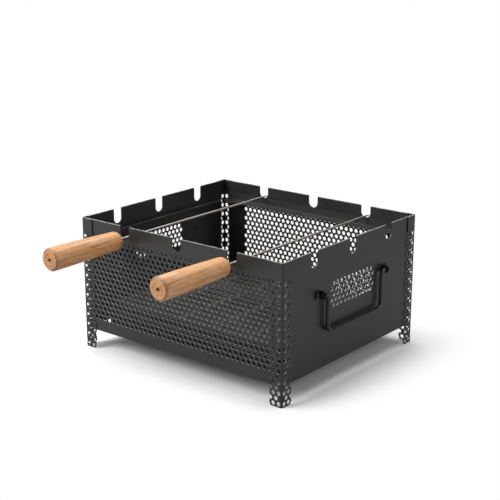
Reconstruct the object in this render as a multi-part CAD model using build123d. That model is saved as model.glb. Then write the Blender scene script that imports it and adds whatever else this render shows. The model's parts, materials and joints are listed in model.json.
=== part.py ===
from build123d import *
import os

# Hibachi charcoal grill: a sheet-steel firebox on four perforated corner posts, with a carry
# handle on each side, an ash pan, a charcoal grate and two wooden-gripped skewers.
# Millimetres, +Z up. The origin is on the floor under the middle of the firebox.
# -Y is the front, where the skewer grips are. +X is the right-hand side.

# ---- firebox ----
BODY_WIDTH = 326.0  # X, over the corner posts
BODY_DEPTH = 285.0  # Y, over the corner posts
BODY_HEIGHT = 176.0  # floor to rim
FOOT_HEIGHT = 26.0  # floor to the panels' lower edge
SHEET = 1.2  # sheet steel of panels, posts and rails
LAP_GAP = 0.05  # coating between two lapped sheets
BEND = 2.0  # outer radius of a sheet-metal bend

# ---- perforation ----
HOLE_DIAMETER = 5.6
HOLE_PITCH = 8.0  # centre to centre along a row
ROW_PITCH = 6.7  # from one row to the next, staggered by half a pitch
TOP_ROW_DROP = 24.5  # rim to the centre of the top row
BOTTOM_BAND = 14.5  # plain band along a panel's lower edge
FRONT_MARGIN = 3.0  # least steel between a hole and the front panel's upright edge
REAR_MARGIN = 30.0  # the same on the rear panel, whose field is narrower

# ---- corner posts ----
POST_FLANGE = 18.0  # width of each flange
POST_LAP = 8.0  # how far a flange covers a panel
POST_FIRST_HOLE = 5.0  # corner to the first hole of an even row
POST_FOOT_BAND = 1.0  # least steel under the lowest row
POST_TOE_RADIUS = 4.0  # rounding of the lower outer corners

# ---- skewer notches in the rim ----
FRONT_NOTCH_SPACING = 87.0
FRONT_NOTCH_WIDTH = 15.0
FRONT_NOTCH_DEPTH = 16.5
SIDE_NOTCH_SPACING = 80.0
SIDE_NOTCH_WIDTH = 14.0
SIDE_NOTCH_DEPTH = 20.5
NOTCH_LIP_RADIUS = 1.5
NOTCH_COUNT = 3

# ---- vent patch in each side panel ----
PATCH_TOP_DROP = 49.0  # rim to the centre of the patch's top row
PATCH_ROWS = 5
PATCH_WIDTH = 94.0  # over the outermost holes

# ---- rails inside the firebox ----
SHELF_DROP = 27.0  # rim to the top of the shelf that a cooking grate would rest on
FRONT_SHELF = 15.0  # how far the front and rear shelves reach inwards
SIDE_SHELF = 8.0
SIDE_FLANGE = 8.0  # how far the side rails' flanges hang down
RAIL_NOTCH_CLEARANCE = 0.5  # notch bottom to the top of the front and rear rails
RAIL_END_CLEARANCE = 2.5  # between the ends of neighbouring rails
PAN_SHELF = 30.0  # how far the pan rails reach inwards
PAN_RAIL_HEIGHT = 14.0
PAN_RAIL_SETBACK = 11.0  # each end of a pan rail, from the panel's upright edge

# ---- ash pan ----
PAN_SIDE_CLEARANCE = 2.4  # pan rim to the shelf that it lifts past
PAN_RIM = 5.0
PAN_HEIGHT = 22.0
PAN_WALL = 1.0
PAN_CORNER_RADIUS = 12.0
PAN_SEAT_GAP = 0.05  # under the pan, and under the charcoal grate

# ---- charcoal grate ----
GRATE_HEIGHT = 31.0  # its own height, from the pan floor to its top
GRATE_CLEARANCE = 4.0  # from the pan wall, all round
GRATE_SHEET = 1.5
GRATE_BEND = 3.0
GRATE_SLOT_LENGTH = 44.0
GRATE_SLOT_WIDTH = 6.0
GRATE_SLOT_PITCH_X = 54.0
GRATE_SLOT_PITCH_Y = 15.0
GRATE_BORDER = 9.0  # least steel between a slot and the grate's edge

# ---- carry handles ----
HANDLE_ROD = 5.2  # diameter
HANDLE_LEG_SPACING = 116.0  # between the axes of the two legs
HANDLE_PIVOT_DROP = 56.0  # rim to the pivot axis
HANDLE_DROP = 48.0  # pivot axis to the axis of the grip bar
HANDLE_STUB_PROUD = 2.3  # outer face of the ear to the end of the turned-out pivot stub
HANDLE_TOP_BEND = 7.0
HANDLE_LOWER_BEND = 8.0
HANDLE_END_CHAMFER = 0.6

# ---- handle lugs and their rivets ----
LUG_THICKNESS = 2.4
LUG_WALL = 2.2  # steel around the pivot bore
LUG_BORE_CLEARANCE = 0.08  # radial running clearance on the stub
LUG_PANEL_CLEARANCE = 0.12  # panel to the round of the ear
LUG_SETBACK = 10.0  # leg axis to the middle of the ear
LUG_FOOT_THICKNESS = 1.5
LUG_FOOT_MARGIN = 0.8  # rivet head to the end of the foot
RIVET_DIAMETER = 3.0
RIVET_HEAD_DIAMETER = 5.6
RIVET_HEAD_HEIGHT = 1.3
RIVET_HOLE_CLEARANCE = 0.05  # radial
RIVET_STUB_CLEARANCE = 0.3  # end of the pivot stub to the rivet's head, along the panel

# ---- skewers ----
SKEWER_ROD = 3.4  # diameter
SKEWER_REAR_OVERHANG = 10.0  # rear face of the firebox to the skewer's tip
SKEWER_TIP_LENGTH = 12.0
SKEWER_SEAT_GAP = 0.05  # notch bottom to the rod
GRIP_SETBACK = 10.5  # front face of the firebox to the grip's inner end
GRIP_LENGTH = 113.0
GRIP_OUTER_DIAMETER = 28.4
GRIP_INNER_DIAMETER = 23.6
GRIP_NOSE_RADIUS = 6.0
GRIP_END_CHAMFER = 2.4
GRIP_BORE_CLEARANCE = 0.05  # radial
GRIP_BLIND_DEPTH = 4.0  # outer end of the grip to the end of the rod in its bore

# ---- places worked out from the sizes above ----
HALF_WIDTH = BODY_WIDTH / 2
HALF_DEPTH = BODY_DEPTH / 2
PANEL_INSET = SHEET + LAP_GAP  # post's outer face to the panel's outer face
RAIL_INSET = PANEL_INSET + SHEET + LAP_GAP  # post's outer face to a rail's outer face
PANEL_TRIM = POST_FLANGE - POST_LAP  # post's corner to the panel's upright edge
FRONT_NOTCH_BOTTOM = BODY_HEIGHT - FRONT_NOTCH_DEPTH
SHELF_TOP = BODY_HEIGHT - SHELF_DROP
PIVOT_Z = BODY_HEIGHT - HANDLE_PIVOT_DROP
LUG_RADIUS = HANDLE_ROD / 2 + LUG_BORE_CLEARANCE + LUG_WALL
LUG_BACK = HALF_WIDTH - PANEL_INSET + LAP_GAP
LUG_PLACE = HANDLE_LEG_SPACING / 2 + LUG_SETBACK
PIVOT_X = HALF_WIDTH - PANEL_INSET + LUG_RADIUS + LUG_PANEL_CLEARANCE
STUB_END = LUG_PLACE + LUG_THICKNESS / 2 + HANDLE_STUB_PROUD
RIVET_PLACE = STUB_END + RIVET_STUB_CLEARANCE + RIVET_HEAD_DIAMETER / 2
LUG_FOOT_END = RIVET_PLACE + RIVET_HEAD_DIAMETER / 2 + LUG_FOOT_MARGIN
SIDES = {"front": 0, "right": 90, "rear": 180, "left": 270}  # turn about +Z from the front


def save(shape, node):
    """Write one sub-part to its own STEP file."""
    export_step(shape, f"parts/{node}.step")


def on_wall(shape, side, outer_face):
    """Stand a flat panel, drawn in XY with its outside up, on one wall of the firebox."""
    return Rot(Z=SIDES[side]) * (Plane.XZ.offset(outer_face - SHEET) * shape)


def row_heights(top, lowest):
    """Heights of the hole rows, from the top row down to the last that clears lowest."""
    count = int((top - HOLE_DIAMETER / 2 - lowest) / ROW_PITCH) + 1
    return [top - row * ROW_PITCH for row in range(count)]


def row_places(row, reach):
    """Hole centres along one row, even about the middle; odd rows shift by half a pitch."""
    shift = HOLE_PITCH / 2 if row % 2 else 0.0
    count = int((reach - shift) / HOLE_PITCH)
    right = [shift + n * HOLE_PITCH for n in range(count + 1)]
    return sorted({place for x in right for place in (x, -x)})


def perforated_panel(width, notch_spacing, notch_width, notch_depth, holes):
    """A flat panel in XY with rounded notches in its rim and a list of hole centres."""
    outline = Pos(0, FOOT_HEIGHT) * Rectangle(
        width, BODY_HEIGHT - FOOT_HEIGHT, align=(Align.CENTER, Align.MIN)
    )
    bottom = BODY_HEIGHT - notch_depth + notch_width / 2
    for n in range(NOTCH_COUNT):
        middle = (n - (NOTCH_COUNT - 1) / 2) * notch_spacing
        throat = Rectangle(notch_width, notch_depth, align=(Align.CENTER, Align.MIN))
        outline -= Pos(middle, bottom) * (Circle(notch_width / 2) + throat)
    lips = [
        vertex
        for vertex in outline.vertices()
        if abs(vertex.Y - BODY_HEIGHT) < 0.01 and abs(vertex.X) < width / 2 - 0.01
    ]
    outline = fillet(lips, NOTCH_LIP_RADIUS)
    rings = [Wire(Pos(x, z) * Edge.make_circle(HOLE_DIAMETER / 2)) for x, z in holes]
    return extrude(Face(outline.face().outer_wire(), rings), amount=SHEET)


def end_panel(margin):
    """Panel of the front or rear wall, perforated but for a plain margin at each end."""
    width = BODY_WIDTH - 2 * PANEL_TRIM
    reach = width / 2 - margin - HOLE_DIAMETER / 2
    rows = row_heights(BODY_HEIGHT - TOP_ROW_DROP, FOOT_HEIGHT + BOTTOM_BAND)
    holes = [(x, z) for row, z in enumerate(rows) for x in row_places(row, reach)]
    return perforated_panel(
        width, FRONT_NOTCH_SPACING, FRONT_NOTCH_WIDTH, FRONT_NOTCH_DEPTH, holes
    )


def side_panel(rivet_places):
    """Panel of a side wall, plain but for the vent patch and the lug rivets' holes."""
    width = BODY_DEPTH - 2 * PANEL_TRIM
    reach = (PATCH_WIDTH - HOLE_DIAMETER) / 2
    top = BODY_HEIGHT - PATCH_TOP_DROP
    holes = [
        (x, top - row * ROW_PITCH)
        for row in range(PATCH_ROWS)
        for x in row_places(row, reach)
    ]
    panel = perforated_panel(
        width, SIDE_NOTCH_SPACING, SIDE_NOTCH_WIDTH, SIDE_NOTCH_DEPTH, holes
    )
    rivet_hole = Cylinder(RIVET_DIAMETER / 2 + RIVET_HOLE_CLEARANCE, 4 * SHEET)
    return panel - [Pos(place, PIVOT_Z) * rivet_hole for place in rivet_places]


def corner_post():
    """A post with its corner on the Z axis: an L of perforated sheet, cut through the holes.

    One flange reaches along -X and the other along +Y, as on the front right post.
    """
    corner = (Align.MAX, Align.MIN)
    profile = Rectangle(POST_FLANGE, POST_FLANGE, align=corner)
    profile -= Pos(-SHEET, SHEET) * Rectangle(POST_FLANGE, POST_FLANGE, align=corner)
    profile = fillet(profile.vertices().sort_by_distance((0, 0, 0))[0], BEND)
    inner_corner = profile.vertices().sort_by_distance((-SHEET, SHEET, 0))[0]
    profile = fillet(inner_corner, BEND - SHEET)
    post = extrude(profile, amount=BODY_HEIGHT)
    toes = [
        post.edges().filter_by(Axis.Y).sort_by_distance((-POST_FLANGE, 0, 0))[0],
        post.edges().filter_by(Axis.X).sort_by_distance((0, POST_FLANGE, 0))[0],
    ]
    post = fillet(toes, POST_TOE_RADIUS)
    hole = Cylinder(HOLE_DIAMETER / 2, 4 * SHEET)
    holes = []
    for row, z in enumerate(row_heights(BODY_HEIGHT - TOP_ROW_DROP, POST_FOOT_BAND)):
        out = POST_FIRST_HOLE + (HOLE_PITCH / 2 if row % 2 else 0.0)
        while out < POST_FLANGE:
            holes.append(Pos(-out, 0, z) * Rot(X=90) * hole)
            holes.append(Pos(0, out, z) * Rot(Y=90) * hole)
            out += HOLE_PITCH
    return post - holes


def angle_rail(length, shelf, flange):
    """An L-section rail along X: its bend is at the origin, its shelf along +Y, its flange up."""
    low = (Align.MIN, Align.MIN)
    profile = Rectangle(shelf, SHEET, align=low) + Rectangle(SHEET, flange, align=low)
    profile = fillet(profile.vertices().sort_by_distance((0, 0, 0))[0], BEND)
    inner_corner = profile.vertices().sort_by_distance((SHEET, SHEET, 0))[0]
    profile = fillet(inner_corner, BEND - SHEET)
    return extrude(Plane.YZ * profile, amount=length / 2, both=True)


def on_inner_wall(rail, side, wall_face, height):
    """Hang a rail, its bend at the origin, on the inside of one wall of the firebox."""
    return Rot(Z=SIDES[side]) * (Pos(0, -wall_face, height) * rail)


def grate_rail(side):
    """A rail that would carry a cooking grate: flange up at front and rear, down at the sides."""
    if side in ("front", "rear"):
        shelf_bottom = SHELF_TOP - SHEET
        flange = FRONT_NOTCH_BOTTOM - RAIL_NOTCH_CLEARANCE - shelf_bottom
        rail = angle_rail(BODY_WIDTH - 2 * PANEL_TRIM, FRONT_SHELF, flange)
        return on_inner_wall(rail, side, HALF_DEPTH - RAIL_INSET, shelf_bottom)
    length = BODY_DEPTH - 2 * (RAIL_INSET + FRONT_SHELF + RAIL_END_CLEARANCE)
    rail = mirror(angle_rail(length, SIDE_SHELF, SIDE_FLANGE), about=Plane.XY)
    return on_inner_wall(rail, side, HALF_WIDTH - RAIL_INSET, SHELF_TOP)


def pan_rail(side):
    """One of the two rails that carry the ash pan."""
    length = BODY_WIDTH - 2 * (PANEL_TRIM + PAN_RAIL_SETBACK)
    rail = angle_rail(length, PAN_SHELF, PAN_RAIL_HEIGHT)
    return on_inner_wall(rail, side, HALF_DEPTH - RAIL_INSET, FOOT_HEIGHT)


PAN_WIDTH = BODY_WIDTH - 2 * (RAIL_INSET + SIDE_SHELF + PAN_SIDE_CLEARANCE)
PAN_DEPTH = BODY_DEPTH - 2 * (RAIL_INSET + FRONT_SHELF + PAN_SIDE_CLEARANCE)
PAN_BOTTOM = FOOT_HEIGHT + SHEET + PAN_SEAT_GAP
GRATE_BOTTOM = PAN_BOTTOM + PAN_WALL + PAN_SEAT_GAP


def pan_block(inset, height):
    """A round-cornered block, inset from the pan's rim, standing on z = 0."""
    return extrude(
        RectangleRounded(PAN_WIDTH - 2 * inset, PAN_DEPTH - 2 * inset, PAN_CORNER_RADIUS - inset),
        amount=height,
    )


def ash_pan():
    """A pressed tray with a flat rim turned outwards."""
    tray = pan_block(PAN_RIM, PAN_HEIGHT)
    tray += Pos(0, 0, PAN_HEIGHT - PAN_WALL) * pan_block(0, PAN_WALL)
    tray -= Pos(0, 0, PAN_WALL) * pan_block(PAN_RIM + PAN_WALL, PAN_HEIGHT)
    return Pos(0, 0, PAN_BOTTOM) * tray


def charcoal_grate():
    """A slotted plate with its long edges turned down to stand in the ash pan."""
    around = PAN_RIM + PAN_WALL + GRATE_CLEARANCE
    width = PAN_WIDTH - 2 * around
    depth = PAN_DEPTH - 2 * around
    profile = Rectangle(depth, GRATE_HEIGHT, align=(Align.CENTER, Align.MIN))
    profile = fillet(profile.vertices().group_by(Axis.Y)[-1], GRATE_BEND)
    hollow = Rectangle(
        depth - 2 * GRATE_SHEET, GRATE_HEIGHT - GRATE_SHEET, align=(Align.CENTER, Align.MIN)
    )
    profile -= fillet(hollow.vertices().group_by(Axis.Y)[-1], GRATE_BEND - GRATE_SHEET)
    plate = extrude(Plane.YZ * profile, amount=width / 2, both=True)
    slot = extrude(SlotOverall(GRATE_SLOT_LENGTH, GRATE_SLOT_WIDTH), amount=4 * GRATE_SHEET)
    across = int((width - 2 * GRATE_BORDER - GRATE_SLOT_LENGTH) / GRATE_SLOT_PITCH_X) + 1
    deep = int((depth - 2 * GRATE_BORDER - GRATE_SLOT_WIDTH) / GRATE_SLOT_PITCH_Y) + 1
    level = GRATE_HEIGHT - 3 * GRATE_SHEET
    slots = [
        Pos(place.position.X, place.position.Y, level) * slot
        for place in GridLocations(GRATE_SLOT_PITCH_X, GRATE_SLOT_PITCH_Y, across, deep)
    ]
    return Pos(0, 0, GRATE_BOTTOM) * (plate - slots)


def carry_handle():
    """The right-hand bail: one bent rod whose turned-out ends are the pivot stubs."""
    leg = HANDLE_LEG_SPACING / 2
    outline = FilletPolyline(
        (-STUB_END, PIVOT_Z),
        (-leg, PIVOT_Z),
        (-leg, PIVOT_Z - HANDLE_DROP),
        (leg, PIVOT_Z - HANDLE_DROP),
        (leg, PIVOT_Z),
        (STUB_END, PIVOT_Z),
        radius=[HANDLE_TOP_BEND, HANDLE_LOWER_BEND, HANDLE_LOWER_BEND, HANDLE_TOP_BEND],
    )
    path = Plane.YZ.offset(PIVOT_X) * outline
    rod = sweep(Plane(origin=path @ 0, z_dir=path % 0) * Circle(HANDLE_ROD / 2), path=path)
    ends = rod.faces().sort_by(Axis.Y)
    rims = ends[0].edges() + ends[-1].edges()
    return chamfer(rims, HANDLE_END_CHAMFER)


def handle_lugs():
    """The two right-hand lugs: an ear with the pivot bore and a foot riveted to the panel."""
    reach = PIVOT_X - LUG_BACK
    from_back = (Align.MIN, Align.CENTER, Align.CENTER)
    upright = Rot(X=90)
    ear = Pos(LUG_BACK, LUG_PLACE, PIVOT_Z) * Box(
        reach, LUG_THICKNESS, 2 * LUG_RADIUS, align=from_back
    )
    ear += Pos(PIVOT_X, LUG_PLACE, PIVOT_Z) * upright * Cylinder(LUG_RADIUS, LUG_THICKNESS)
    bore = Cylinder(HANDLE_ROD / 2 + LUG_BORE_CLEARANCE, 4 * LUG_THICKNESS)
    foot_start = LUG_PLACE - LUG_THICKNESS / 2
    foot = Pos(LUG_BACK, foot_start, PIVOT_Z) * Box(
        LUG_FOOT_THICKNESS,
        LUG_FOOT_END - foot_start,
        2 * LUG_RADIUS,
        align=(Align.MIN, Align.MIN, Align.CENTER),
    )
    foot_corners = foot.edges().filter_by(Axis.X).group_by(Axis.Y)[-1]
    foot = fillet(foot_corners, LUG_WALL)
    rivet_hole = Cylinder(RIVET_DIAMETER / 2 + RIVET_HOLE_CLEARANCE, 4 * LUG_FOOT_THICKNESS)
    lug = ear + foot
    lug -= Pos(PIVOT_X, LUG_PLACE, PIVOT_Z) * upright * bore
    lug -= Pos(LUG_BACK, RIVET_PLACE, PIVOT_Z) * Rot(Y=90) * rivet_hole
    return Compound(children=[lug, mirror(lug, about=Plane.XZ)])


def lug_rivets():
    """The two right-hand rivets, each through a lug's foot and the side panel."""
    stack = LUG_FOOT_THICKNESS + SHEET + 3 * LAP_GAP
    head = Cylinder(
        RIVET_HEAD_DIAMETER / 2, RIVET_HEAD_HEIGHT, align=(Align.CENTER, Align.CENTER, Align.MIN)
    )
    head = fillet(head.edges().group_by(Axis.Z)[-1], RIVET_HEAD_HEIGHT * 0.8)
    shank = Cylinder(RIVET_DIAMETER / 2, stack, align=(Align.CENTER, Align.CENTER, Align.MAX))
    rivet = head + shank + Pos(0, 0, -stack) * Rot(X=180) * head
    outside = LUG_BACK + LUG_FOOT_THICKNESS + LAP_GAP
    rivet = Pos(outside, RIVET_PLACE, PIVOT_Z) * Rot(Y=90) * rivet
    return Compound(children=[rivet, mirror(rivet, about=Plane.XZ)])


SKEWER_Z = FRONT_NOTCH_BOTTOM + SKEWER_SEAT_GAP + SKEWER_ROD / 2
GRIP_INNER_END = -HALF_DEPTH - GRIP_SETBACK
GRIP_OUTER_END = GRIP_INNER_END - GRIP_LENGTH


def skewer_rod():
    """A pointed steel rod that runs into the grip and ends short of its outer end."""
    tip = HALF_DEPTH + SKEWER_REAR_OVERHANG
    radius = SKEWER_ROD / 2
    half = make_face(
        Polyline(
            (0, GRIP_OUTER_END + GRIP_BLIND_DEPTH),
            (radius, GRIP_OUTER_END + GRIP_BLIND_DEPTH),
            (radius, tip - SKEWER_TIP_LENGTH),
            (0, tip),
            close=True,
        )
    )
    return revolve(half, axis=Axis.Y)


def skewer_grip():
    """A turned wooden grip, thicker at its outer end, bored from end to end."""
    bore = SKEWER_ROD / 2 + GRIP_BORE_CLEARANCE
    outer = GRIP_OUTER_DIAMETER / 2
    inner = GRIP_INNER_DIAMETER / 2
    half = make_face(
        Polyline(
            (bore, GRIP_OUTER_END),
            (outer, GRIP_OUTER_END),
            (inner, GRIP_INNER_END),
            (bore, GRIP_INNER_END),
            close=True,
        )
    )
    nose = half.vertices().sort_by_distance((inner, GRIP_INNER_END, 0))[0]
    half = fillet(nose, GRIP_NOSE_RADIUS)
    rim = half.vertices().sort_by_distance((outer, GRIP_OUTER_END, 0))[0]
    half = chamfer(rim, GRIP_END_CHAMFER)
    return revolve(half, axis=Axis.Y)


os.makedirs("parts", exist_ok=True)

plain = side_panel([RIVET_PLACE, -RIVET_PLACE])
for side, margin in (("front", FRONT_MARGIN), ("rear", REAR_MARGIN)):
    save(on_wall(end_panel(margin), side, HALF_DEPTH - PANEL_INSET), f"{side}_panel")
    save(pan_rail(side), f"{side}_pan_rail")
for side in ("left", "right"):
    save(on_wall(plain, side, HALF_WIDTH - PANEL_INSET), f"{side}_side_panel")
for side in SIDES:
    save(grate_rail(side), f"{side}_grate_rail")

post = corner_post()
save(Pos(HALF_WIDTH, -HALF_DEPTH) * post, "front_right_post")
save(Pos(HALF_WIDTH, HALF_DEPTH) * Rot(Z=90) * post, "rear_right_post")
save(Pos(-HALF_WIDTH, HALF_DEPTH) * Rot(Z=180) * post, "rear_left_post")
save(Pos(-HALF_WIDTH, -HALF_DEPTH) * Rot(Z=270) * post, "front_left_post")

save(ash_pan(), "ash_pan")
save(charcoal_grate(), "charcoal_grate")

handle_sets = {"carry_handle": carry_handle(), "handle_lugs": handle_lugs(), "lug_rivets": lug_rivets()}
for name, shape in handle_sets.items():
    save(shape, f"right_{name}")
    save(Rot(Z=180) * shape, f"left_{name}")

for side, x in (("left", -FRONT_NOTCH_SPACING), ("right", FRONT_NOTCH_SPACING)):
    save(Pos(x, 0, SKEWER_Z) * skewer_rod(), f"{side}_skewer_rod")
    save(Pos(x, 0, SKEWER_Z) * skewer_grip(), f"{side}_skewer_grip")
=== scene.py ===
"""Looks of a table-top hibachi grill: powder-coated sheet steel, twisted skewers and turned wood.

Everything is in metres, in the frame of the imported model: +Z up, the floor at z = 0 and
-Y the front. The sheet-metal pieces are the frame's own; the skewers are modelled here.
"""
import json
import logging
import math
from dataclasses import dataclass
from enum import Enum
from typing import Iterable, Sequence, Union

import bmesh
import bpy
from mathutils import Matrix, Vector


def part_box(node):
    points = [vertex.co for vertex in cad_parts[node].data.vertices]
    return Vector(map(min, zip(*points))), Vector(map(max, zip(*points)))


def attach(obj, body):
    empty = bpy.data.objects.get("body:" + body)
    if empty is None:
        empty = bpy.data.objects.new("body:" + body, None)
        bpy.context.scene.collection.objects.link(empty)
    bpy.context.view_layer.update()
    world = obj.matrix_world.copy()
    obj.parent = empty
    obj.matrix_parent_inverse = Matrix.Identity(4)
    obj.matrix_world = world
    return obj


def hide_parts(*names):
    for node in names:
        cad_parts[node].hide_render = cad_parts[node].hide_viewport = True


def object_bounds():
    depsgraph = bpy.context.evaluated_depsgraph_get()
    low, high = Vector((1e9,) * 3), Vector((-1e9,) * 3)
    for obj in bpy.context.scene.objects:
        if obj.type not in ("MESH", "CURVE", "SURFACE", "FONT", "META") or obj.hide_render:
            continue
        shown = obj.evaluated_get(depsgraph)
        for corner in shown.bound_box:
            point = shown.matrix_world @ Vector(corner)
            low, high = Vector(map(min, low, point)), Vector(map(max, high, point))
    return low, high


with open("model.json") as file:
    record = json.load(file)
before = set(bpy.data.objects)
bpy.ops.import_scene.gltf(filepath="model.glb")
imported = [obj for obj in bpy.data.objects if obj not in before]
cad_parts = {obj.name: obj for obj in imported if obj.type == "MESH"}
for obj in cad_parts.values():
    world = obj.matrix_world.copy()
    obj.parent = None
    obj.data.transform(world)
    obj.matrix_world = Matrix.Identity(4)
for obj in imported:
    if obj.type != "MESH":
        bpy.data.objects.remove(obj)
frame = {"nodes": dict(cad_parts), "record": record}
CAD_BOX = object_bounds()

log = logging.getLogger("hibachi")

MM = 0.001
Colour = tuple[float, float, float]
Number = Union[float, "Field"]


class Side(Enum):
    """A side of the grill, seen from its front."""

    LEFT = "left"
    RIGHT = "right"


# ---------------------------------------------------------------------------------------
# Shader building
# ---------------------------------------------------------------------------------------


class Field:
    """A number that varies over a surface; arithmetic on it adds Math nodes."""

    def __init__(self, bench: "Bench", socket: bpy.types.NodeSocket) -> None:
        """Wrap one output socket.

        Args:
            bench: The material that the socket belongs to.
            socket: The output that carries the number.
        """
        self.bench = bench
        self.socket = socket

    def math(self, operation: str, *others: Number, first: Number | None = None) -> "Field":
        """Add a Math node.

        Args:
            operation: Blender's name for the operation.
            others: The operands after this one.
            first: An operand to put before this one.

        Returns:
            The result as a new field.
        """
        operands = [self, *others] if first is None else [first, self, *others]
        values = {index: operand for index, operand in enumerate(operands)}
        made = self.bench.node("ShaderNodeMath", {"operation": operation}, values)
        return Field(self.bench, made.outputs[0])

    def __add__(self, other: Number) -> "Field":
        """This plus other."""
        return self.math("ADD", other)

    __radd__ = __add__

    def __sub__(self, other: Number) -> "Field":
        """This minus other."""
        return self.math("SUBTRACT", other)

    def __rsub__(self, other: Number) -> "Field":
        """Other minus this."""
        return self.math("SUBTRACT", first=other)

    def __mul__(self, other: Number) -> "Field":
        """This times other."""
        return self.math("MULTIPLY", other)

    __rmul__ = __mul__

    def __truediv__(self, other: Number) -> "Field":
        """This divided by other."""
        return self.math("DIVIDE", other)

    def __pow__(self, other: Number) -> "Field":
        """This to the power of other."""
        return self.math("POWER", other)

    def __abs__(self) -> "Field":
        """This without its sign."""
        return self.math("ABSOLUTE")

    def step(self, low: float, high: float) -> "Field":
        """A smooth step.

        Args:
            low: Where the result is 0.
            high: Where the result is 1; it may lie below low.

        Returns:
            The result, from 0 to 1.
        """
        settings = {"interpolation_type": "SMOOTHSTEP", "clamp": True}
        if low < high:
            ends = {1: low, 2: high, 3: 0.0, 4: 1.0}
        else:
            ends = {1: high, 2: low, 3: 1.0, 4: 0.0}
        made = self.bench.node("ShaderNodeMapRange", settings, {0: self, **ends})
        return Field(self.bench, made.outputs[0])


class Bench:
    """The node tree of one material, with a Principled shader to plug fields into."""

    def __init__(self, name: str) -> None:
        """Start a material.

        Args:
            name: The material's name.
        """
        self.material = bpy.data.materials.new(name)
        self.material.use_nodes = True
        self.tree = self.material.node_tree
        self.tree.nodes.clear()
        self.shader = self.node("ShaderNodeBsdfPrincipled")
        self.output = self.node("ShaderNodeOutputMaterial", None, {0: self.shader.outputs[0]})
        self.place = self.node("ShaderNodeTexCoord").outputs["Object"]

    def node(
        self,
        kind: str,
        settings: dict[str, object] | None = None,
        inputs: dict[int | str, object] | None = None,
    ) -> bpy.types.Node:
        """Add a node.

        Args:
            kind: The node's type.
            settings: Attributes to set first; "stops" holds a ramp's positions and colours.
            inputs: Socket index or name, and the value, field or socket it gets.

        Returns:
            The new node.
        """
        made = self.tree.nodes.new(kind)
        for key, value in (settings or {}).items():
            if key == "stops":
                self._set_stops(made, value)
            else:
                setattr(made, key, value)
        for key, value in (inputs or {}).items():
            self.plug(made, key, value)
        return made

    @staticmethod
    def _set_stops(ramp: bpy.types.Node, stops: Sequence[tuple[float, Colour]]) -> None:
        """Give a colour ramp its stops.

        Args:
            ramp: The Color Ramp node.
            stops: Each stop's position and colour, in order.
        """
        elements = ramp.color_ramp.elements
        while len(elements) < len(stops):
            elements.new(1.0)
        for element, (position, colour) in zip(elements, stops):
            element.position = position
            element.color = (*colour, 1.0)

    def plug(self, node: bpy.types.Node, key: int | str, value: object) -> None:
        """Link or set one input.

        Args:
            node: The node.
            key: The socket's index or name.
            value: A field, an output socket, a number, a vector or a colour.
        """
        socket = node.inputs[key]
        if isinstance(value, Field):
            self.tree.links.new(value.socket, socket)
        elif isinstance(value, bpy.types.NodeSocket):
            self.tree.links.new(value, socket)
        elif socket.type == "RGBA":
            socket.default_value = (*value, 1.0)
        else:
            socket.default_value = value

    def surface(self, **values: object) -> None:
        """Set the shader's sockets.

        Args:
            values: Socket names, with an underscore for a space, and their values.
        """
        for key, value in values.items():
            self.plug(self.shader, key.replace("_", " "), value)

    def axes(self) -> tuple[Field, Field, Field]:
        """The place on the piece as three fields, in metres."""
        split = self.node("ShaderNodeSeparateXYZ", None, {0: self.place})
        return tuple(Field(self, out) for out in split.outputs)

    def moved(
        self, centre: Sequence[float] = (0, 0, 0), scale: Sequence[float] = (1, 1, 1)
    ) -> bpy.types.NodeSocket:
        """Places on the piece, centred and then scaled.

        Args:
            centre: The point that becomes the origin.
            scale: The factor along each axis.

        Returns:
            The vector socket.
        """
        shift = tuple(-c * s for c, s in zip(centre, scale))
        made = self.node("ShaderNodeMapping", None, {0: self.place, 1: shift, 3: tuple(scale)})
        return made.outputs[0]

    def noise(
        self,
        size: float,
        detail: float = 2.0,
        rough: float = 0.5,
        where: bpy.types.NodeSocket | None = None,
        warp: float = 0.0,
    ) -> Field:
        """Cloudy noise.

        Args:
            size: The size of a cloud in metres, or in the units of where.
            detail: How many octaves.
            rough: The weight of the finer octaves.
            where: The places to read, or None for Object coordinates.
            warp: How strongly the clouds are twisted.

        Returns:
            A field around 0.5.
        """
        inputs = {
            "Vector": where or self.place,
            "Scale": 1 / size,
            "Detail": detail,
            "Roughness": rough,
            "Distortion": warp,
        }
        return Field(self, self.node("ShaderNodeTexNoise", None, inputs).outputs[0])

    def mix(self, factor: Number, first: object, second: object) -> bpy.types.NodeSocket:
        """Blend two colours.

        Args:
            factor: 0 for first, 1 for second.
            first: A colour or colour socket.
            second: A colour or colour socket.

        Returns:
            The blended colour's socket.
        """
        made = self.node("ShaderNodeMix", {"data_type": "RGBA"}, {0: factor, 6: first, 7: second})
        return made.outputs[2]

    def ramp(self, factor: Field, stops: Sequence[tuple[float, Colour]]) -> bpy.types.NodeSocket:
        """Colours along a field.

        Args:
            factor: Where on the ramp each point lies, from 0 to 1.
            stops: Each stop's position and colour, in order.

        Returns:
            The colour socket.
        """
        return self.node("ShaderNodeValToRGB", {"stops": stops}, {0: factor}).outputs[0]

    def bump(self, *layers: tuple[Field, float]) -> bpy.types.NodeSocket:
        """Relief in the surface.

        Args:
            layers: Each layer's height field and its height in metres.

        Returns:
            The normal socket.
        """
        normal: bpy.types.NodeSocket | None = None
        for height, metres in layers:
            inputs: dict[int | str, object] = {"Height": height, "Distance": metres}
            if normal is not None:
                inputs["Normal"] = normal
            normal = self.node("ShaderNodeBump", None, inputs).outputs[0]
        return normal


# ---------------------------------------------------------------------------------------
# Finishes
# ---------------------------------------------------------------------------------------


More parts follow.
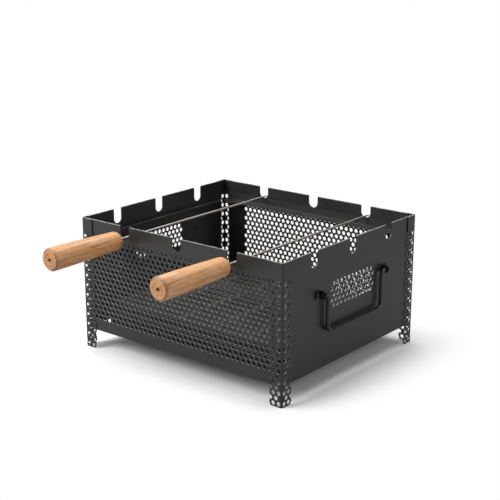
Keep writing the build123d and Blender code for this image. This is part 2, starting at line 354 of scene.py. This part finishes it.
@dataclass(frozen=True)
class PowderCoat:
    """Baked-on black coat over sheet steel: a fine orange peel, thin on cut edges, with a painted
    highlight mixed into the worn top rim and painted onto the hole walls.
    """

    name: str
    colour: Colour = (0.0105, 0.0108, 0.0107)
    # light grey of the top rim: real wear plus a painted highlight along the edge
    rim_wear_and_sheen_colour: Colour = (0.34, 0.35, 0.345)
    roughness: float = 0.4
    cloud: float = 45 * MM
    speckle: float = 0.5 * MM
    peel: float = 0.9 * MM
    peel_height: float = 0.012 * MM
    rim: float = 0.0  # height of the top edge, worn and lightened by a painted highlight, or 0 where there is none
    rim_line: float = 0.9 * MM  # how far down the wear and the painted highlight reach
    scuff: float = 2.5 * MM
    walls: tuple[float, float] | None = None  # half width and half depth of the lapped walls
    wall_sheet: float = 1.2 * MM
    lap_gap: float = 0.05 * MM
    corner_zone: float = 3 * MM  # from a wall's end, where the post's other flange lies
    notch_zone: float = 21.3 * MM  # below the rim; the skewer notches lie in it
    # light grey of the hole walls: a painted highlight for the glints on their rims
    hole_glint_colour: Colour = (0.38, 0.38, 0.37)

    def material(self) -> bpy.types.Material:
        """Build the material.

        Returns:
            The finished material.
        """
        bench = Bench(self.name)
        clouds = bench.noise(self.cloud, detail=3.0)
        speckle = bench.noise(self.speckle, detail=1.0)
        shade = (clouds - 0.5) * 0.5 + (speckle - 0.5) * 0.5 + 0.5
        dark = tuple(0.75 * c for c in self.colour)
        light = tuple(1.3 * c for c in self.colour)
        coat = bench.mix(shade.step(0.3, 0.7), dark, light)
        if self.rim:
            _, _, height = bench.axes()
            scuffs = bench.noise(self.scuff, detail=4.0, rough=0.65)
            # wear along the top edge, lightened further as a painted highlight of the rim
            near_top = height.step(self.rim - self.rim_line, self.rim - 0.1 * MM)
            wear_and_sheen = near_top * scuffs.step(0.3, 0.6)
            coat = bench.mix(wear_and_sheen, coat, self.rim_wear_and_sheen_colour)
        if self.walls:
            # painted highlight: the hole walls are lightened to give the glints on their rims
            coat = bench.mix(self._glinting_hole_walls(bench) * 0.85, coat, self.hole_glint_colour)
        peel = bench.noise(self.peel, detail=2.0)
        bench.surface(
            Base_Color=coat,
            Roughness=(clouds - 0.5) * 0.14 + (speckle - 0.5) * 0.1 + self.roughness,
            Normal=bench.bump((peel, self.peel_height)),
        )
        return bench.material

    def _glinting_hole_walls(self, bench: Bench) -> Field:
        """Find the walls of the punched holes, where the coat is thin and a painted highlight stands
        in for their glints.

        Args:
            bench: The material's node tree.

        Returns:
            A field that is 1 inside either of the two lapped sheets of a wall.
        """
        x, y, height = bench.axes()
        lap = self.wall_sheet + self.lap_gap
        masks = []
        for across, along, outer, end in ((x, y, *self.walls), (y, x, *reversed(self.walls))):
            layer = abs(abs(abs(across) - (outer - lap + self.lap_gap / 2)) - lap / 2)
            inside = layer.step(self.wall_sheet / 2 - 0.08 * MM, self.wall_sheet / 2 - 0.2 * MM)
            clear = end - self.corner_zone
            masks.append(inside * abs(along).step(clear + 0.4 * MM, clear))
        low = self.rim - self.notch_zone
        return (masks[0] + masks[1]) * height.step(low + 0.4 * MM, low)


@dataclass(frozen=True)
class DrawnSteel:
    """Bright drawn steel with fine lengthwise scratches, browned a little by heat."""

    name: str
    colour: Colour = (0.43, 0.41, 0.375)
    heat_colour: Colour = (0.30, 0.245, 0.185)
    roughness: float = 0.34

    def material(self) -> bpy.types.Material:
        """Build the material.

        Returns:
            The finished material.
        """
        bench = Bench(self.name)
        scratches = bench.noise(1.0, 3.0, 0.6, bench.moved(scale=(4000, 60, 4000)))
        tint = bench.noise(38 * MM, detail=3.0)
        steel = bench.mix(tint.step(0.52, 0.75) * 0.5, self.colour, self.heat_colour)
        bench.surface(
            Base_Color=steel,
            Metallic=1.0,
            Roughness=(scratches - 0.5) * 0.2 + self.roughness,
            Normal=bench.bump((scratches, 0.008 * MM)),
        )
        return bench.material


@dataclass(frozen=True)
class HeatedPlate:
    """Dark plate that lies over the fire: dull, mottled and greyed with fine ash."""

    name: str
    colour: Colour = (0.024, 0.022, 0.021)
    ash_colour: Colour = (0.085, 0.08, 0.075)
    roughness: float = 0.62

    def material(self) -> bpy.types.Material:
        """Build the material.

        Returns:
            The finished material.
        """
        bench = Bench(self.name)
        mottle = bench.noise(22 * MM, detail=5.0, rough=0.62, warp=0.6)
        dust = bench.noise(1.6 * MM, detail=3.0)
        ash = mottle.step(0.48, 0.72) * dust.step(0.35, 0.65)
        bench.surface(
            Base_Color=bench.mix(ash * 0.7, self.colour, self.ash_colour),
            Roughness=ash * 0.2 + self.roughness,
            Normal=bench.bump((mottle, 0.08 * MM), (dust, 0.03 * MM)),
        )
        return bench.material


@dataclass(frozen=True)
class TurnedWood:
    """Oiled light hardwood: short pores along Y, cloudy heartwood tones and rings on the end."""

    name: str
    centre: tuple[float, float, float]
    end_y: float
    face_radius: float
    seed: float = 0.0
    shade: float = 0.36  # how dark the wood is as a whole
    ring_pitch: float = 5.2 * MM
    turning_pitch: float = 1.9 * MM
    bore_radius: float = 2.6 * MM  # over the painted shade round its mouth
    relief: float = 0.06 * MM
    light: Colour = (0.66, 0.40, 0.235)
    middle: Colour = (0.55, 0.29, 0.13)
    dark: Colour = (0.26, 0.105, 0.034)
    amber: Colour = (0.62, 0.275, 0.075)
    # dark brown of the bevel band and of the painted shade in the bore
    end_face_dark: Colour = (0.12, 0.048, 0.018)

    def material(self) -> bpy.types.Material:
        """Build the material.

        Returns:
            The finished material.
        """
        bench = Bench(self.name)
        cx, cy, cz = self.centre
        grain = bench.moved((cx, cy, cz + self.seed * MM), (1, 0.11, 1))
        clouds = bench.noise(13 * MM, 3.0, 0.55, grain, 0.5)
        patches = bench.noise(30 * MM, 2.0, 0.5, bench.moved((self.seed, cy, cz), (1, 0.6, 1)), 0.8)
        heart = (cx + 24 * MM, cy, cz - 30 * MM + self.seed * MM)
        around = bench.node(
            "ShaderNodeVectorMath", {"operation": "LENGTH"}, {0: bench.moved(heart, (1, 0.06, 1))}
        )
        radius = Field(bench, around.outputs["Value"]) + (clouds - 0.5) * (11 * MM)
        ring = (radius * (math.tau / self.ring_pitch)).math("SINE") * 0.5 + 0.5
        fibre = bench.noise(1.0, 4.0, 0.62, bench.moved((cx, 0, self.seed), (1300, 52, 1300)))
        pores = bench.noise(1.0, 2.0, 0.5, bench.moved((cx, self.seed, 0), (1500, 190, 1500)))
        flecks = pores.step(0.6, 0.7)
        tone = (clouds - 0.5) * 1.6 + ring * 0.28 + (fibre - 0.5) * 1.2 + self.shade
        wood = bench.ramp(tone, [(0.0, self.light), (0.5, self.middle), (1.0, self.dark)])
        wood = bench.mix(patches.step(0.46, 0.66) * 0.6, wood, self.amber)
        _, along, _ = bench.axes()
        side = along.step(self.end_y + 0.25 * MM, self.end_y + 0.7 * MM)
        wood = bench.mix(flecks * side * 0.7, wood, tuple(0.6 * c for c in self.dark))
        wood = self._end_grain(bench, wood, clouds)
        bench.surface(
            Base_Color=wood,
            Roughness=fibre * 0.14 + 0.42,
            Coat_Weight=0.1,
            Coat_Roughness=0.22,
            Normal=bench.bump((fibre, self.relief), (flecks, -self.relief)),
        )
        return bench.material

    def _end_grain(
        self, bench: Bench, wood: bpy.types.NodeSocket, clouds: Field
    ) -> bpy.types.NodeSocket:
        """Darken the outer face: turning rings, a darker band on the bevel and painted shade in the
        bore's mouth.

        Args:
            bench: The material's node tree.
            wood: The colour of the long grain.
            clouds: The field that the tones drift with.

        Returns:
            The colour with the end grain.
        """
        cx, _, cz = self.centre
        x, along, z = bench.axes()
        out = ((x - cx) * (x - cx) + (z - cz) * (z - cz)) ** 0.5
        face = along.step(self.end_y + 0.7 * MM, self.end_y + 0.25 * MM)
        turning = ((out + (clouds - 0.5) * (0.7 * MM)) * (math.tau / self.turning_pitch)).math("SINE")
        rings = turning.step(-0.2, 0.9) * 0.55 + 0.2
        wood = bench.mix(face * rings, wood, self.dark)
        lip = out.step(self.face_radius - 0.9 * MM, self.face_radius)
        bevel = lip * along.step(self.end_y + 3.4 * MM, self.end_y + 1.2 * MM)
        wood = bench.mix(bevel * 0.6, wood, self.end_face_dark)
        # painted shade in and round the mouth of the bore, as in a shaded hole
        mouth = out.step(self.bore_radius, self.bore_radius - 0.7 * MM)
        bore = mouth * along.step(self.end_y + 6 * MM, self.end_y + 5 * MM)
        return bench.mix(bore * 0.85, wood, self.end_face_dark)


# ---------------------------------------------------------------------------------------
# Mesh building
# ---------------------------------------------------------------------------------------


class Shop:
    """Turns a bmesh into a finished piece of the grill."""

    @staticmethod
    def finish(
        name: str,
        mesh: bmesh.types.BMesh,
        body: str,
        slot: str,
        material: bpy.types.Material,
        sharp: float = 35.0,
    ) -> bpy.types.Object:
        """Make an object of a mesh and put it on its body.

        Args:
            name: The piece's name.
            mesh: The mesh, in the frame's own coordinates; it is freed.
            body: The CAD body that the piece rides on.
            slot: The record's material slot; not used.
            material: The piece's material.
            sharp: The angle in degrees from which an edge is shaded sharp.

        Returns:
            The new object.
        """
        bmesh.ops.remove_doubles(mesh, verts=mesh.verts, dist=1e-6)
        bmesh.ops.recalc_face_normals(mesh, faces=mesh.faces)
        for face in mesh.faces:
            face.smooth = True
        for edge in mesh.edges:
            edge.smooth = len(edge.link_faces) == 2 and edge.calc_face_angle() < math.radians(sharp)
        data = bpy.data.meshes.new(name)
        mesh.to_mesh(data)
        mesh.free()
        piece = bpy.data.objects.new(name, data)
        bpy.context.scene.collection.objects.link(piece)
        data.materials.append(material)
        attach(piece, body)
        return piece

    @staticmethod
    def turned(
        profile: Iterable[tuple[float, float]], x: float, z: float, steps: int
    ) -> bmesh.types.BMesh:
        """A shape turned about an axis along Y.

        Args:
            profile: Points (y, radius) from one end of the outline to the other.
            x: Where the axis lies.
            z: Where the axis lies.
            steps: How many faces go round.

        Returns:
            The closed mesh.
        """
        mesh = bmesh.new()
        points = [mesh.verts.new((x + radius, y, z)) for y, radius in profile]
        edges = [mesh.edges.new(pair) for pair in zip(points, points[1:])]
        bmesh.ops.spin(
            mesh,
            geom=points + edges,
            cent=(x, 0, z),
            axis=(0, 1, 0),
            angle=math.tau,
            steps=steps,
            use_merge=True,
        )
        bmesh.ops.remove_doubles(mesh, verts=mesh.verts, dist=1e-6)
        return mesh


def arc(
    centre: tuple[float, float], radius: float, start: float, end: float, steps: int
) -> list[tuple[float, float]]:
    """Points along an arc.

    Args:
        centre: The arc's centre (y, radius).
        radius: The arc's own radius.
        start: Its first angle in degrees.
        end: Its last angle in degrees.
        steps: How many stretches it has.

    Returns:
        The points, both ends included.
    """
    angles = [math.radians(start + (end - start) * n / steps) for n in range(steps + 1)]
    return [(centre[0] + radius * math.cos(a), centre[1] + radius * math.sin(a)) for a in angles]


# ---------------------------------------------------------------------------------------
# Sub-assemblies
# ---------------------------------------------------------------------------------------


def dress(node: str, material: bpy.types.Material) -> None:
    """Give a CAD node its material.

    Args:
        node: The node's name.
        material: The material for all its faces.
    """
    piece = frame["nodes"][node]
    piece.data.materials.clear()
    piece.data.materials.append(material)
    log.info("%s wears %s", node, material.name)


@dataclass
class Firebox:
    """The fixed sheet-metal pieces: panels, corner posts, ledges and pan rails."""

    coat: PowderCoat
    inner_coat: PowderCoat

    def dress(self) -> None:
        """Dress the fixed panels, posts and rails."""
        rim_coat = self.coat.material()
        plain_coat = self.inner_coat.material()
        for node in frame["record"]["behaviour"]["bodies"]["firebox"]:
            if node.endswith("_panel") or node.endswith("_post"):
                dress(node, rim_coat)
            elif node.endswith("_rail"):
                dress(node, plain_coat)


@dataclass
class CarryHandles:
    """Both bails with their lugs and rivets."""

    coat: PowderCoat

    def dress(self) -> None:
        """Dress the handles, lugs and rivets."""
        material = self.coat.material()
        for side in Side:
            for part in ("carry_handle", "handle_lugs", "lug_rivets"):
                dress(f"{side.value}_{part}", material)


@dataclass
class FireTray:
    """The ash pan and the charcoal grate in it."""

    pan_coat: PowderCoat
    plate: HeatedPlate

    def dress(self) -> None:
        """Dress the pan and the grate."""
        dress("ash_pan", self.pan_coat.material())
        dress("charcoal_grate", self.plate.material())


@dataclass
class Skewer:
    """One skewer: a twisted square rod with a pointed tip in a turned wooden grip."""

    side: Side
    steel: DrawnSteel
    twist: float = 15 * MM  # length of one full turn of the rod
    rod_step: float = 0.9 * MM
    rod_edge: float = 0.45 * MM  # how far the rod's four edges are rounded back
    tip_length: float = 12 * MM
    tip_blunt: float = 0.03  # least share of the section left by one step of the point
    straight: float = 7 * MM  # untwisted neck where the rod leaves the grip
    nose_radius: float = 7 * MM
    taper: float = 2.3 * MM  # how much thinner the grip is at its inner end, on the radius
    bevel: float = 2.5 * MM  # of the outer end, at 45 degrees
    bevel_round: float = 1.6 * MM  # rounding between the bevel and the grip's side
    bore_lip: float = 0.3 * MM
    rings: tuple[float, ...] = (3.6 * MM, 6.9 * MM)  # radii of the grooves in the outer face
    groove_width: float = 0.9 * MM
    groove_depth: float = 0.45 * MM
    grip_steps: int = 72

    def __post_init__(self) -> None:
        """Read the skewer's place from the frame."""
        self.rod_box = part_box(f"{self.side.value}_skewer_rod")
        self.grip_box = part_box(f"{self.side.value}_skewer_grip")
        self.x = (self.rod_box[0].x + self.rod_box[1].x) / 2
        self.z = (self.rod_box[0].z + self.rod_box[1].z) / 2
        self.rod_radius = (self.rod_box[1].z - self.rod_box[0].z) / 2

    def build(self) -> None:
        """Build the rod and the grip."""
        self.build_rod()
        self.build_grip()

    def build_rod(self) -> bpy.types.Object:
        """Build the twisted rod.

        Returns:
            The piece.
        """
        mesh = bmesh.new()
        start, tip = self.rod_box[0].y, self.rod_box[1].y
        neck = self.grip_box[1].y + self.straight
        count = round((tip - start) / self.rod_step)
        step = (tip - start) / count
        ring = bmesh.ops.create_circle(mesh, segments=4, radius=self.rod_radius, cap_ends=True)
        bmesh.ops.bevel(
            mesh, geom=ring["verts"], offset=self.rod_edge, offset_type="OFFSET", segments=2,
            profile=0.5, affect="VERTICES", material=-1, clamp_overlap=True,
        )
        bmesh.ops.rotate(
            mesh, verts=mesh.verts, cent=(0, 0, 0), matrix=Matrix.Rotation(math.radians(90), 3, "X")
        )
        bmesh.ops.translate(mesh, verts=mesh.verts, vec=(self.x, start, self.z))
        face = mesh.faces[:][0]
        for n in range(count):
            y = start + n * step
            made = bmesh.ops.extrude_face_region(mesh, geom=[face])
            face = next(g for g in made["geom"] if isinstance(g, bmesh.types.BMFace))
            bmesh.ops.translate(mesh, verts=face.verts, vec=(0, step, 0))
            turn = math.tau * step / self.twist if neck < y < tip - self.tip_length else 0.0
            axis = (self.x, 0, self.z)
            bmesh.ops.rotate(mesh, verts=face.verts, cent=axis, matrix=Matrix.Rotation(turn, 3, "Y"))
            left = (tip - y) / self.tip_length
            if left <= 1.0 and n < count - 1:
                shrink = max(self.tip_blunt, (left - step / self.tip_length) / left)
                bmesh.ops.scale(
                    mesh, verts=face.verts, vec=(shrink, 1, shrink),
                    space=Matrix.Translation((-self.x, 0, -self.z)),
                )
        piece = Shop.finish(
            f"{self.side.value}_twisted_rod", mesh, f"{self.side.value}_skewer",
            "skewer_steel", self.steel.material(), sharp=50.0,
        )
        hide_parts(f"{self.side.value}_skewer_rod")
        log.info("%s has %d faces", piece.name, len(piece.data.polygons))
        return piece

    def grip_profile(self) -> list[tuple[float, float]]:
        """Draw the grip's outline, from the bore round the outside and back.

        Returns:
            The points (y, radius), the first one again at the end.
        """
        low, high = self.grip_box
        outer = (high.z - low.z) / 2
        inner = outer - self.taper
        bore = self.rod_radius + 0.02 * MM
        start, end = low.y, high.y
        points = [(end - 2 * MM, bore), (start + self.bore_lip, bore), (start, bore + self.bore_lip)]
        half = self.groove_width / 2
        for radius in self.rings:
            points += [(start, radius - half), (start + self.groove_depth, radius - half / 3)]
            points += [(start + self.groove_depth, radius + half / 3), (start, radius + half)]
        face = outer - self.bevel
        side = start + self.bevel + self.bevel_round * math.tan(math.pi / 8)
        points += [(start, face - 0.25 * MM), (start + 0.25 * MM, face)]
        points += arc((side, outer - self.bevel_round), self.bevel_round, 135, 90, 4)
        body = 20
        reach = end - self.nose_radius
        for n in range(1, body):
            t = n / body
            points.append((side + t * (reach - side), outer + (inner - outer) * t**1.6))
        points += arc((reach, inner - self.nose_radius), self.nose_radius, 90, 0, 10)
        points += [(end, bore + 1.2 * MM), (end - 0.5 * MM, bore)]
        return points + points[:1]

    def build_grip(self) -> bpy.types.Object:
        """Build the turned grip.

        Returns:
            The piece.
        """
        mesh = Shop.turned(self.grip_profile(), self.x, self.z, self.grip_steps)
        low, high = self.grip_box
        centre = (self.x, (low.y + high.y) / 2, self.z)
        seed, shade = (11.0, 0.5) if self.side is Side.LEFT else (3.0, 0.38)
        face_radius = (high.z - low.z) / 2 - self.bevel
        wood = TurnedWood(f"{self.side.value}_grip_wood", centre, low.y, face_radius, seed, shade)
        piece = Shop.finish(
            f"{self.side.value}_wooden_grip", mesh, f"{self.side.value}_skewer",
            "grip_wood", wood.material(), sharp=40.0,
        )
        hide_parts(f"{self.side.value}_skewer_grip")
        log.info("%s has %d faces", piece.name, len(piece.data.polygons))
        return piece


# ---------------------------------------------------------------------------------------
# Studio
# ---------------------------------------------------------------------------------------


@dataclass(frozen=True)
class SoftBox:
    """A square light that faces the grill."""

    name: str
    place: tuple[float, float, float]
    size: float
    power: float
    aim: tuple[float, float, float] = (0.0, 0.0, 0.08)

    def hang(self) -> None:
        """Hang the light."""
        data = bpy.data.lights.new(self.name, "AREA")
        data.size = self.size
        data.energy = self.power
        light = bpy.data.objects.new(self.name, data)
        bpy.context.scene.collection.objects.link(light)
        light.location = self.place
        towards = Vector(self.aim) - Vector(self.place)
        light.rotation_euler = towards.to_track_quat("-Z", "Y").to_euler()


@dataclass
class Studio:
    """Pale floor, soft overhead light and the camera."""

    azimuth: float = 38.87
    elevation: float = 16.28
    roll: float = 0.08
    distance: float = 1.509
    target: tuple[float, float, float] = (0.0006, 0.0, 0.1297)
    lens: float = 83.2
    floor_size: float = 9.0
    floor_colour: Colour = (0.79, 0.79, 0.795)
    floor_bounce: Colour = (0.46, 0.46, 0.46)  # its colour in what it throws back at the grill
    floor_fade: tuple[float, float] = (0.0, 0.095)  # distances from the firebox, in plan
    room_light: float = 0.19  # strength of the surroundings as a light; as a backdrop it is 1
    lights: tuple[SoftBox, ...] = (
        SoftBox("overhead", (-0.25, 0.35, 1.5), 1.7, 29.0),
        SoftBox("front_left", (-0.9, -1.5, 1.3), 1.3, 56.0),
        SoftBox("right_fill", (1.6, 0.3, 0.8), 0.9, 9.0),
    )

    def build(self) -> None:
        """Make the camera, the floor, the lights and the surroundings."""
        self.place_camera()
        self.lay_floor()
        for light in self.lights:
            light.hang()
        self.set_surroundings()

    def place_camera(self) -> None:
        """Aim the camera at the grill."""
        data = bpy.data.cameras.new("camera")
        data.lens = self.lens
        data.sensor_width = 36.0
        data.clip_start, data.clip_end = 0.05, 30.0
        camera = bpy.data.objects.new("camera", data)
        bpy.context.scene.collection.objects.link(camera)
        turn, lift = math.radians(self.azimuth), math.radians(self.elevation)
        back = Vector(
            (math.sin(turn) * math.cos(lift), -math.cos(turn) * math.cos(lift), math.sin(lift))
        )
        camera.location = Vector(self.target) + back * self.distance
        aim = (-back).to_track_quat("-Z", "Y").to_matrix().to_4x4()
        aim = aim @ Matrix.Rotation(math.radians(self.roll), 4, "Z")
        camera.matrix_world = Matrix.Translation(camera.location) @ aim
        bpy.context.scene.camera = camera

    def lay_floor(self) -> None:
        """Lay a pale floor that fades into the white surroundings and is clear from below."""
        bench = Bench("studio_floor")
        x, y, _ = bench.axes()
        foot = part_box("front_right_post")[1].x, -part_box("front_right_post")[0].y
        past_x = (abs(x) - foot[0]).math("MAXIMUM", 0.0)
        past_y = (abs(y) - foot[1]).math("MAXIMUM", 0.0)
        seen = Field(bench, bench.node("ShaderNodeLightPath").outputs["Is Camera Ray"])
        far = ((past_x * past_x + past_y * past_y) ** 0.5).step(*self.floor_fade) * seen
        pale = bench.mix(seen, self.floor_bounce, self.floor_colour)
        bench.surface(Base_Color=pale, Roughness=0.9, Specular_IOR_Level=0.1)
        glow = bench.node("ShaderNodeEmission", None, {0: (1.0, 1.0, 1.0), 1: 1.0})
        blend = bench.node(
            "ShaderNodeMixShader", None, {0: far, 1: bench.shader.outputs[0], 2: glow.outputs[0]}
        )
        below = bench.node("ShaderNodeNewGeometry").outputs["Backfacing"]
        clear = bench.node("ShaderNodeBsdfTransparent")
        shown = bench.node(
            "ShaderNodeMixShader", None, {0: below, 1: blend.outputs[0], 2: clear.outputs[0]}
        )
        bench.plug(bench.output, 0, shown.outputs[0])
        mesh = bmesh.new()
        bmesh.ops.create_grid(mesh, x_segments=2, y_segments=2, size=self.floor_size)
        data = bpy.data.meshes.new("floor")
        mesh.to_mesh(data)
        mesh.free()
        data.materials.append(bench.material)
        floor = bpy.data.objects.new("floor", data)
        bpy.context.scene.collection.objects.link(floor)

    def set_surroundings(self) -> None:
        """Surround the scene with white, dimmer as a light than as a backdrop."""
        scene = bpy.context.scene
        scene.view_settings.view_transform = "Standard"
        world = bpy.data.worlds.new("white_room")
        scene.world = world
        world.use_nodes = True
        nodes, links = world.node_tree.nodes, world.node_tree.links
        nodes.clear()
        seen = nodes.new("ShaderNodeLightPath")
        back = nodes.new("ShaderNodeBackground")
        back.inputs["Color"].default_value = (1.0, 1.0, 1.0, 1.0)
        strength = nodes.new("ShaderNodeMapRange")
        strength.inputs["To Min"].default_value = self.room_light
        strength.inputs["To Max"].default_value = 1.0
        links.new(seen.outputs["Is Camera Ray"], strength.inputs["Value"])
        links.new(strength.outputs[0], back.inputs["Strength"])
        links.new(back.outputs[0], nodes.new("ShaderNodeOutputWorld").inputs[0])


def main() -> None:
    """Build and dress the grill, then the studio."""
    logging.basicConfig(level=logging.INFO, format="%(name)s: %(message)s")
    rim = CAD_BOX[1].z
    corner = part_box("rear_right_post")[1]
    Firebox(
        coat=PowderCoat("black_coat", rim=rim, walls=(corner.x, corner.y)),
        inner_coat=PowderCoat("inner_black_coat", roughness=0.5),
    ).dress()
    CarryHandles(PowderCoat("handle_coat", colour=(0.006, 0.006, 0.0065), roughness=0.32)).dress()
    FireTray(
        PowderCoat("pan_coat", colour=(0.018, 0.018, 0.018), roughness=0.55),
        HeatedPlate("grate_steel"),
    ).dress()
    steel = DrawnSteel("skewer_steel")
    for side in Side:
        Skewer(side, steel).build()
    Studio().build()


if __name__ == "__main__":
    main()
